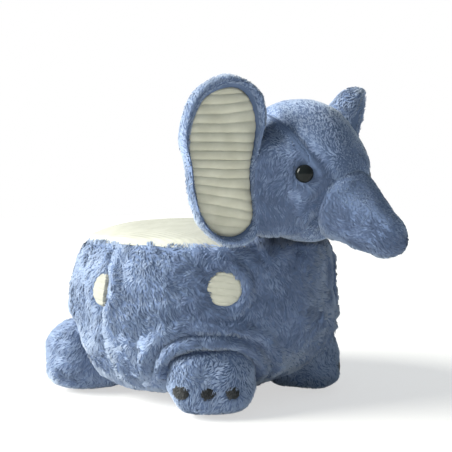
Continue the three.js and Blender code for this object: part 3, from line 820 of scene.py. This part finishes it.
uu, vv = rings(300, 170, 0.001, math.pi - 0.001)
d = np.stack([np.sin(vv) * np.cos(uu), np.sin(vv) * np.sin(uu), np.cos(vv)], axis=1)
head_v = head_points(d)
head_n = unit(d / HEAD_HALF)
head_f = facing_out(head_v, grid_faces(300, 170, True), head_n)
head_v = head_v + head_n * (head_relief(head_v)[:, None] - PILE_DEPTH)
centres = head_v[head_f].mean(axis=1)
in_trunk = np.linalg.norm(centres - trunk_root, axis=1) < ROOT_R - 9
over_trunk = (centres[:, 2] > 303) | (centres[:, 1] > HEAD[1])
strip = (np.abs(centres[:, 0]) < gusset_line(centres)) & over_trunk & (centres[:, 2] > 244)
chin = (np.abs(centres[:, 0]) < GUSSET) & ~strip
panels = {
    "head_plush_crown": (strip & ~in_trunk, ["head_gusset", "head_filling"]),
    "head_plush_chin": (chin & ~in_trunk, ["chin_panel"]),
    "head_plush_right": ((centres[:, 0] < 0) & ~strip & ~chin & ~in_trunk, ["head_side_right"]),
    "head_plush_left": ((centres[:, 0] >= 0) & ~strip & ~chin & ~in_trunk, ["head_side_left"]),
}


def nap_head(p, n):
    """Forehead hair lies back over the crown; cheek hair sweeps down and back."""
    back = np.stack([0.2 * np.sign(p[:, 0]), np.full(len(p), 0.8), np.full(len(p), 0.5)], axis=1)
    down = np.tile([0.0, 0.5, -1.0], (len(p), 1))
    low = smooth(-p[:, 2], -360, -300)[:, None]
    return back * (1 - low) + down * low


def head_seam(p):
    """How far a point of the head's skin lies from the crown panel's seams."""
    return np.abs(np.abs(p[:, 0]) - gusset_line(p)) + 99 * (1 - seam_strength(p))


def keep_head(p):
    """No pile in the seams or over the eyes."""
    good = head_seam(p) > 1.0
    for e in eyes.values():
        good &= np.linalg.norm(p - e, axis=1) > 13
    return good


def head_length(p):
    """Short on the forehead and the crown, longer on the cheeks, and parted along the seams."""
    cheek = (1 - smooth(p[:, 2], 318, 372)) * smooth(np.abs(p[:, 0]), 20, 45)
    return (0.42 + 0.72 * cheek) * (0.15 + 0.85 * smooth(head_seam(p), 1.0, 6))


def head_painted_shade(p):
    """Painted shade: darker along the crown panel's seams, and on the cheeks, where the ear's shadow falls."""
    cheek = (1 - smooth(p[:, 2], 322, 360)) * smooth(np.abs(p[:, 0]), 25, 50)
    return 0.6 - 2.6 * bump(head_seam(p), 0, 2.2) - 1.4 * cheek


for k, (name, (mask, nodes)) in enumerate(panels.items()):
    cloth(name, head_v, head_f[mask], 3.0, plush_ground, "head", nodes)
    tufts(name.replace("plush", "pile"), "head", head_v, head_f[mask], nap_head, 160 + k, spacing=FINE,
          length=6.2, width=1.35, lean=0.3, keep=keep_head, wild=1.15, length_of=head_length,
          tone_of=head_painted_shade, contrast=0.5 if "crown" in name else 1.35)

# ---------- the eyes ----------
for side, e in eyes.items():
    aim = unit(e - (HEAD - [0, 8, 4]))
    across = unit(np.cross(UP, aim))
    up = np.cross(aim, across)
    uu, vv = rings(64, 34, 0, math.pi)
    r, h = EYE_RADIUS * np.sin(vv), np.cos(vv)
    height = np.where(h > 0, EYE_DOME, EYE_BACK)
    p = e + np.outer(r * np.cos(uu), across) + np.outer(r * np.sin(uu), up) + np.outer(h * height - 1.0, aim)
    eye = mesh_object(f"glossy_eye_{side}", p, facing_out(p, grid_faces(64, 34, True), p - e), [eye_black])
    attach(eye, "head")
    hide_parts(f"eye_{side}")

# ---------- the trunk ----------
length = np.linalg.norm(trunk_tip - trunk_root)
uu, vv = rings(150, 130)
TRUNK_LINE = [  # how far along the trunk, and its radius there
    (-22, 43.0), (-6, 47.5), (10, 47.2), (30, 42.5), (52, 36.5), (72, 30.5), (88, 25.5), (99, 18.0), (106, 9.0),
    (108.5, 0.0),
]
line = spline(TRUNK_LINE, vv * (len(TRUNK_LINE) - 1))
along = line[:, 0] * (length + TIP_R) / TRUNK_LINE[-1][0]
r = np.clip(line[:, 1] - 2.0 * smooth(line[:, 1], 0, 12), 0.0, None)
trunk_side = np.array([1.0, 0, 0])
trunk_over = unit(np.cross(trunk_aim, trunk_side))
if trunk_over[2] < 0:
    trunk_over = -trunk_over
round_it = np.outer(np.cos(uu), trunk_side) + np.outer(np.sin(uu), trunk_over)
p = trunk_root + np.outer(along, trunk_aim) + r[:, None] * round_it
# The trunk droops a little: its middle sags.
p[:, 2] -= 3.0 * np.sin(np.clip(along / (length + TIP_R), 0, 1) * math.pi)
n = unit(round_it + np.outer(smooth(along, 60, 108) * 1.5, trunk_aim))
over = smooth(np.sin(uu), -0.2, 0.6)
relief = 1.5 * noise(p, 40, 190) + 1.1 * noise(p, 19, 191) + 0.5 * noise(p, 9, 192)
relief += (1 - 0.75 * over) * (-4.0 * bump(along, 4, 6) + 2.0 * bump(along, 18, 9))
trunk_v = p + n * (relief * smooth(r, 0, 10))[:, None]
trunk_f = facing_out(trunk_v, grid_faces(150, 130, True), n)
cloth("trunk_plush", trunk_v, trunk_f, 3.0, plush_ground, "trunk", ["trunk_cover", "trunk_filling"])


def nap_trunk(q, m):
    """Along the trunk, to its tip."""
    return np.tile(trunk_aim, (len(q), 1))


def trunk_fur(q):
    """Short on the bridge, longer at the root and underneath."""
    over = (q - trunk_root) @ trunk_over
    return 0.45 + 0.65 * smooth(-over, -22, 10)


def trunk_painted_shade(q):
    """Pale on the bridge and underneath, and a band of painted shade along each side."""
    over = (q - trunk_root) @ trunk_over
    return 0.8 - 1.7 * smooth(-over, -30, -5) * (1 - smooth(-over, 18, 45))


def keep_trunk(q):
    """None where the trunk is inside the head."""
    return (q - trunk_root) @ trunk_aim > 2


tufts("trunk_pile", "trunk", trunk_v, trunk_f, nap_trunk, 200, spacing=FINE, length=6.2, width=1.35, lean=0.3,
      keep=keep_trunk, wild=1.0, length_of=trunk_fur, tone_of=trunk_painted_shade, contrast=1.3)

# ---------- the ears ----------
SWEEP = math.radians(25)
# Both outlines run clockwise from the top: outwards from the root, and up from its middle.
EAR_OUTLINE = [
    (48, 104), (84, 87), (100, 61), (107, 26), (99, -9), (96, -43), (81, -82), (46, -106), (12, -98), (4, -75),
    (9, -36), (9, -6), (4, 24), (-2, 56), (9, 87),
]
LINING = [
    (42, 90), (74, 77), (91, 47), (96, 16), (91, -25), (83, -63), (64, -89), (34, -94), (13, -73), (17, -36),
    (18, -10), (12, 20), (9, 49), (19, 79),
]
# Across the padded rim: the share of the way from the lining's edge out to the outline, and the height.
RIM_LINE = [(-0.3, 2.0), (-0.1, 8.0), (0.18, 13.5), (0.58, 14.0), (0.93, 8.5), (1.0, 0.0), (0.9, -8.0)]
RIM_STEPS, BACK_STEPS, LINING_STEPS = 34, 39, 110
EAR_ANGLES = 360
EAR_MIDDLE = np.array([52.0, 0.0])


def outline_radius(points, phi):
    """How far the outline lies from the ear's middle at each angle."""
    dense = spline(points, np.linspace(0, len(points), 1200, endpoint=False), closed=True) - EAR_MIDDLE
    a = np.arctan2(dense[:, 1], dense[:, 0])
    order = np.argsort(a)
    a, rr = a[order], np.hypot(dense[:, 0], dense[:, 1])[order]
    return np.interp(phi, np.concatenate([a - 2 * np.pi, a, a + 2 * np.pi]), np.concatenate([rr, rr, rr]))


def ear_axes(side):
    """The ear's way out from the head, the way it faces, and the middle of its root."""
    out = np.array([SIDES[side] * math.cos(SWEEP), math.sin(SWEEP), 0.0])
    facing = unit(np.cross(out, UP))
    if facing[1] > 0:
        facing = -facing
    low, high = box(f"ear_back_{side}")
    return out, facing, (low + high) / 2 - out * 52.5


def ear_painted_light(q):
    """Painted light: the ears' short pile is paler towards the top, where the light falls on the rim."""
    return 0.35 + 0.6 * smooth(q[:, 2], 330, 400)


phi = np.linspace(-math.pi, math.pi, EAR_ANGLES + 1)[:-1]
for k, side in enumerate(SIDES):
    out, facing, ear_root = ear_axes(side)
    ear_root = ear_root + UP * (11.0 if side == "left" else 1.0)  # the left ear is set a little higher
    r_in, r_out = outline_radius(LINING, phi), outline_radius(EAR_OUTLINE, phi)

    def place(u, v, h):
        """The left ear's top nods forward."""
        nodding = 14.0 * smooth(v, 30, 95) - 8.0 if side == "left" else 0.0
        return ear_root + np.outer(u, out) + np.outer(v, UP) + np.outer(h + nodding, facing)

    # The blue back: from under the lining's edge, round the padded rim and over the domed back.
    rim = spline(RIM_LINE, np.linspace(0, len(RIM_LINE) - 1, RIM_STEPS))
    back_r = np.linspace(0.97, 0.0, BACK_STEPS + 1)[1:]
    rim_r = r_in[:, None] + (r_out - r_in)[:, None] * rim[None, :, 0]
    rim_end = (r_in + (r_out - r_in) * RIM_LINE[-1][0])[:, None] * (back_r / back_r[0])[None]
    rr = np.concatenate([rim_r, np.minimum(r_out[:, None] * back_r[None] * 0.99, rim_end)], axis=1)
    # The roll is fattest at the top, on the head's side.
    turn = np.abs((phi - math.radians(128) + math.pi) % (2 * math.pi) - math.pi)
    fat = 1 + 0.5 * np.exp(-((turn / math.radians(42)) ** 2)) - 0.12 * np.exp(-(((phi + 2.6) / 0.8) ** 2))
    rim_h = np.where(rim[:, 1] > 3, rim[:, 1] * fat[:, None], rim[:, 1])
    plump = np.tile(-8.0 - 20.0 * (1 - back_r**3) ** 0.8, (EAR_ANGLES, 1))
    if side == "left":  # and its back is plumper high up
        high_up = np.exp(-(((phi - math.radians(80)) / math.radians(50)) ** 2))
        plump = plump - high_up[:, None] * 17.0 * np.sin(np.clip(back_r, 0, 1) * math.pi) ** 0.7
    hh = np.concatenate([rim_h, plump], axis=1)
    u = EAR_MIDDLE[0] + rr * np.cos(phi)[:, None]
    v = EAR_MIDDLE[1] + rr * np.sin(phi)[:, None]
    p = place(u.ravel(), v.ravel(), hh.ravel())
    wave = 1.5 * noise(np.stack([u.ravel(), v.ravel(), 0 * u.ravel()], axis=1) + 40 * k, 34, 220)
    p = p + np.outer(wave, facing)
    f = facing_out(p, grid_faces(EAR_ANGLES, rr.shape[1], True), p - ear_root - out * 52)
    p = p - vertex_normals(p, f) * 2.0
    body = f"ear_{side}"
    cloth(f"ear_plush_{side}", p, f, 2.0, plush_ground, body, [f"ear_back_{side}", f"ear_filling_{side}"])

    def nap_ear(q, m, out=out, facing=facing, root=ear_root):
        """Outwards over the rim, and down the back."""
        e = q - root
        u, v = e @ out - EAR_MIDDLE[0], e[:, 2]
        radial = unit(np.outer(u, out) + np.outer(v, UP))
        front = smooth(m @ facing, -0.3, 0.3)[:, None]
        return radial * front + (np.tile(-UP, (len(q), 1)) * 0.8 + radial * 0.4) * (1 - front)

    def keep_ear(q, out=out, facing=facing, root=ear_root):
        """No pile over the lining."""
        e = q - root
        u, v, h = e @ out - EAR_MIDDLE[0], e[:, 2], e @ facing
        inside = np.hypot(u, v) < outline_radius(LINING, np.arctan2(v, u)) + 1.0
        return ~(inside & (h > -2))

    tufts(f"ear_pile_{side}", body, p, f, nap_ear, 230 + k, spacing=FINE, length=5.2, width=1.35,
          keep=keep_ear, wild=0.9, tone_of=ear_painted_light)

    # The ribbed lining, pillowed and puckered towards the root.
    share = np.linspace(1.0, 0.0, LINING_STEPS)
    rr = (r_in[:, None] + 2.0) * share[None]
    u = EAR_MIDDLE[0] + rr * np.cos(phi)[:, None]
    v = EAR_MIDDLE[1] + rr * np.sin(phi)[:, None]
    flat = np.stack([u.ravel(), v.ravel(), np.zeros(u.size)], axis=1)
    near_root = 1 - smooth(flat[:, 0], 5, 60)
    slant = flat[:, 1] + 0.10 * (flat[:, 0] - 50) * np.sin(flat[:, 1] / 40.0) + 2.6 * noise(flat + 90 * k, 45, 240)
    slant = slant + near_root * 2.5 * np.sin(flat[:, 1] / 13.0)
    # It bulges in the lower lobe and lies flat and deep in the upper one.
    share = np.tile(share, EAR_ANGLES)
    h = (0.0 if side == "left" else 3.0) + (1 - share**3) * (5.5 - 4.5 * smooth(flat[:, 1], -10, 60))
    h = h + ribs(slant, 11.4, 2.4) + 1.6 * noise(flat + 70 * k, 30, 241) - 4.0 * smooth(share, 0.93, 1.0)
    p = place(flat[:, 0], flat[:, 1], h)
    f = facing_out(p, grid_faces(EAR_ANGLES, LINING_STEPS, True), facing)
    cloth(f"ear_ribbed_{side}", p, f, 1.5, lining_cream_painted_light, body, [f"ear_lining_{side}"])

# ---------- the gathered roots that join the ears to the head ----------
ROOT_LOW, ROOT_HIGH = (-80.0, 14.0), (-2.0, 46.0)  # where each end starts to close, and how much further it goes
# The front of the ear's root from low to high: the height, how far out, how far ahead.
FRONT_EDGE = [(-96, 20, 8), (-80, 12, 12), (-60, 12, 14), (-36, 15, 14), (-10, 15, 14), (15, 8, 13), (40, 0, 6)]


def head_outline(z, to_left):
    """One side of the head's skin, cut level at the height z, from its front to its back."""
    high = np.abs((z - HEAD[2]) / (HEAD_HALF[2] - PILE_DEPTH))
    level = np.clip(1 - high**ROUND, 0.02, 1) ** (1 / ROUND)
    a = np.linspace(-math.pi / 2, math.pi / 2, 181)
    x = (HEAD_HALF[0] - PILE_DEPTH) * level * np.abs(np.cos(a)) ** (2 / ROUND) * to_left
    y = (HEAD_HALF[1] - PILE_DEPTH) * level * np.sign(np.sin(a)) * np.abs(np.sin(a)) ** (2 / ROUND)
    return np.stack([x, HEAD[1] + y], axis=1)


def outside_head(p):
    """The points that the head's skin doesn't cover."""
    e = np.abs(p - HEAD) / (HEAD_HALF - PILE_DEPTH - 2.0)
    return (e**ROUND).sum(axis=1) > 1


def tangent_point(at, outline, forward):
    """Where a line from a point outside the head just touches its outline, ahead of the ear or behind it."""
    towards = unit(outline - at)
    centre = unit(np.array([0.0, HEAD[1]]) - at)
    turn = centre[0] * towards[:, 1] - centre[1] * towards[:, 0]
    sense = -np.sign(centre[0]) if forward else np.sign(centre[0])
    too_far = np.abs(outline[:, 1] - at[1]) > 34
    return outline[np.argmax(turn * sense - 9 * too_far)]


for k, (side, to_left) in enumerate(SIDES.items()):
    out, facing, edge_at = ear_axes(side)
    across, along = 16, 60
    rows = []
    for t in np.linspace(0, 1, along):
        (starts, closing), sense = (ROOT_HIGH, 1) if t > 0.35 else (ROOT_LOW, -1)
        level = ROOT_LOW[0] - ROOT_LOW[1] + t * (sum(ROOT_HIGH) - ROOT_LOW[0] + ROOT_LOW[1])
        cap = max((level - starts) * sense, 0.0)
        shrink = math.sqrt(max(1 - (cap / closing) ** 2, 0.0))
        v = level if sense > 0 else max(level, starts)
        u_front = np.interp(v, [e[0] for e in FRONT_EDGE], [e[1] for e in FRONT_EDGE])
        h_front = np.interp(v, [e[0] for e in FRONT_EDGE], [e[2] for e in FRONT_EDGE])
        outline = head_outline(edge_at[2] + v, to_left)
        front = (edge_at + out * u_front + facing * h_front)[:2]
        rear = (edge_at + out * 14.0 - facing * 13.0)[:2]
        cheek, nape = tangent_point(front, outline, True), tangent_point(rear, outline, False)
        core = np.array([to_left * 25.0, edge_at[1]])
        ring = [front + (cheek - front) * w for w in np.linspace(0, 1, across, endpoint=False)]
        ring += [cheek + (core - cheek) * w for w in (0.0, 0.5)]
        ring += [core + (nape - core) * w for w in (0.0, 0.5)]
        ring += [nape + (rear - nape) * w for w in np.linspace(0, 1, across, endpoint=False)]
        ring += [rear + (front - rear) * w for w in (0.0, 0.25, 0.5, 0.75)]
        ring = np.array(ring)
        middle = (front + rear + cheek + nape) / 4
        ring = middle + (ring - middle) * max(shrink, 0.02)
        z = edge_at[2] + level
        rows.append(np.column_stack([ring, np.full(len(ring), z)]))
    p = np.stack(rows, axis=1).reshape(-1, 3)
    spine = p.reshape(-1, along, 3).mean(axis=0)
    f = facing_out(p, grid_faces(len(rows[0]), along, True), p - np.tile(spine, (len(rows[0]), 1)))
    p = p + vertex_normals(p, f) * (1.2 * noise(p, 16, 260 + k))[:, None]
    cheek_side = np.array([to_left * (HEAD_HALF[0] - 6), edge_at[1], edge_at[2]])
    bend = ("head", f"ear_{side}", tuple(cheek_side / MM), tuple((edge_at + out * 9.0) / MM))
    cloth(f"ear_root_{side}", p, f, 1.5, plush_ground, None, bend=bend)
    tufts(f"ear_root_pile_{side}", None, p, f, nap_head, 250 + k, length=6.2, width=1.35, lean=0.3,
          keep=outside_head, wild=1.15, tone_of=head_painted_shade, bend=bend, contrast=1.35)

# ---------- the tail ----------
tail_at = joint_at("tail_lift")
tuft_low, tuft_high = box("tail_tuft")
tail_end = np.array([0.0, (tuft_low[1] + tuft_high[1]) / 2, (tuft_low[2] + tuft_high[2]) / 2])
tail_aim = unit(tail_end - tail_at)
tail_side = np.array([1.0, 0, 0])
tail_over = unit(np.cross(tail_side, tail_aim))
# How far along the tail, and the radius there; then the length of the pile.
tail_parts = {
    "tail": ([(-10, 5.0), (-4, 7.5), (10, 7.0), (28, 6.2), (46, 5.6), (54, 4.0), (57, 0.0)], 8.0),
    "tail_tuft": ([(44, 0.0), (46, 5.0), (54, 9.0), (64, 9.5), (72, 6.5), (77, 0.0)], 15.0),
}


def nap_tail(q, m):
    """Along the tail, to its tip."""
    return np.tile(tail_aim, (len(q), 1))


for k, (node, (points, hair_length)) in enumerate(tail_parts.items()):
    uu, vv = rings(48, 50)
    line = spline(points, vv * (len(points) - 1))
    r = np.clip(line[:, 1], 0, None)
    middle = tail_at + np.outer(line[:, 0], tail_aim)
    p = middle + np.outer(r * np.cos(uu), tail_side) + np.outer(r * np.sin(uu), tail_over)
    f = facing_out(p, grid_faces(48, 50, True), p - middle)
    name = f"{node}_plush"
    cloth(name, p, f, 1.0, plush_ground, "tail", [node])
    tufts(name.replace("plush", "pile"), "tail", p, f, nap_tail, 260 + k, spacing=1.8, length=hair_length, lean=0.3,
          clump=6.0, wild=0.4)

# ---------- carried-over CAD nodes ----------
for name, obj in frame["nodes"].items():
    material = base_cloth if name == "base_panel" else moulded if "washer" in name else None
    if material:
        for slot in obj.material_slots:
            slot.material = material

# ---------- stage, light and camera ----------
scene = bpy.context.scene
FLOOR_HALF = 9000.0
corners = FLOOR_HALF * np.array([[-1.0, -1, 0], [1, -1, 0], [1, 1, 0], [-1, 1, 0]])
floor_white = node_material("floor_white", (0.92, 0.92, 0.92), 0.9)
floor = mesh_object("floor", corners, np.array([[0, 1, 2, 3]]), [floor_white])
# Seen directly, the floor is brighter than the light it gives back, so its shadows stay faint.
floor_nodes, floor_link = floor_white.node_tree.nodes, floor_white.node_tree.links.new
glow = floor_nodes.new("ShaderNodeEmission")
glow.inputs["Color"].default_value = (1, 1, 1, 1)
floor_seen = floor_nodes.new("ShaderNodeLightPath")
share_seen = floor_nodes.new("ShaderNodeMath")
share_seen.operation = "MULTIPLY"
share_seen.inputs[1].default_value = 0.6
floor_mix = floor_nodes.new("ShaderNodeMixShader")
floor_link(floor_seen.outputs["Is Camera Ray"], share_seen.inputs[0])
floor_link(share_seen.outputs[0], floor_mix.inputs[0])
floor_link(floor_nodes["Principled BSDF"].outputs[0], floor_mix.inputs[1])
floor_link(glow.outputs[0], floor_mix.inputs[2])
floor_link(floor_mix.outputs[0], floor_nodes["Material Output"].inputs["Surface"])
world = bpy.data.worlds.new("studio")
world.use_nodes = True
# The camera sees a white studio wall; the light that comes from it is softer than the key.
world_nodes, world_link = world.node_tree.nodes, world.node_tree.links.new
ambient = world_nodes["Background"]
ambient.inputs["Color"].default_value = (0.84, 0.99, 1.05, 1)
ambient.inputs["Strength"].default_value = 0.31
wall = world_nodes.new("ShaderNodeBackground")
wall.inputs["Color"].default_value = (1, 1, 1, 1)
seen = world_nodes.new("ShaderNodeLightPath")
either = world_nodes.new("ShaderNodeMixShader")
world_link(seen.outputs["Is Camera Ray"], either.inputs[0])
world_link(ambient.outputs[0], either.inputs[1])
world_link(wall.outputs[0], either.inputs[2])
world_link(either.outputs[0], world_nodes["World Output"].inputs["Surface"])
scene.world = world
scene.view_settings.view_transform = "Standard"

KEY_FROM = Vector((-0.71, 0.55, 0.46))  # from behind the right flank, and above
key_data = bpy.data.lights.new("key", "SUN")
key_data.energy = 9.2
key_data.angle = math.radians(36)
key_data.color = (1.0, 0.99, 0.9)
key = bpy.data.objects.new("key", key_data)
key.rotation_euler = KEY_FROM.to_track_quat("Z", "Y").to_euler()
scene.collection.objects.link(key)

AIM = Vector((0.0255, -0.0255, 0.238))
DISTANCE, ELEVATION, AZIMUTH = 1.15, math.radians(2.0), math.radians(-45.0)
SENSOR, FIELD = 36.0, 0.678  # the sensor in mm, and the width in metres seen at the aim
camera_data = bpy.data.cameras.new("camera")
camera_data.sensor_width = SENSOR
camera_data.lens = SENSOR * DISTANCE / FIELD
camera = bpy.data.objects.new("camera", camera_data)
level = math.cos(ELEVATION)
back = Vector((math.sin(AZIMUTH) * level, -math.cos(AZIMUTH) * level, math.sin(ELEVATION)))
camera.location = AIM + back * DISTANCE
camera.rotation_euler = back.to_track_quat("Z", "Y").to_euler()
scene.collection.objects.link(camera)
scene.camera = camera
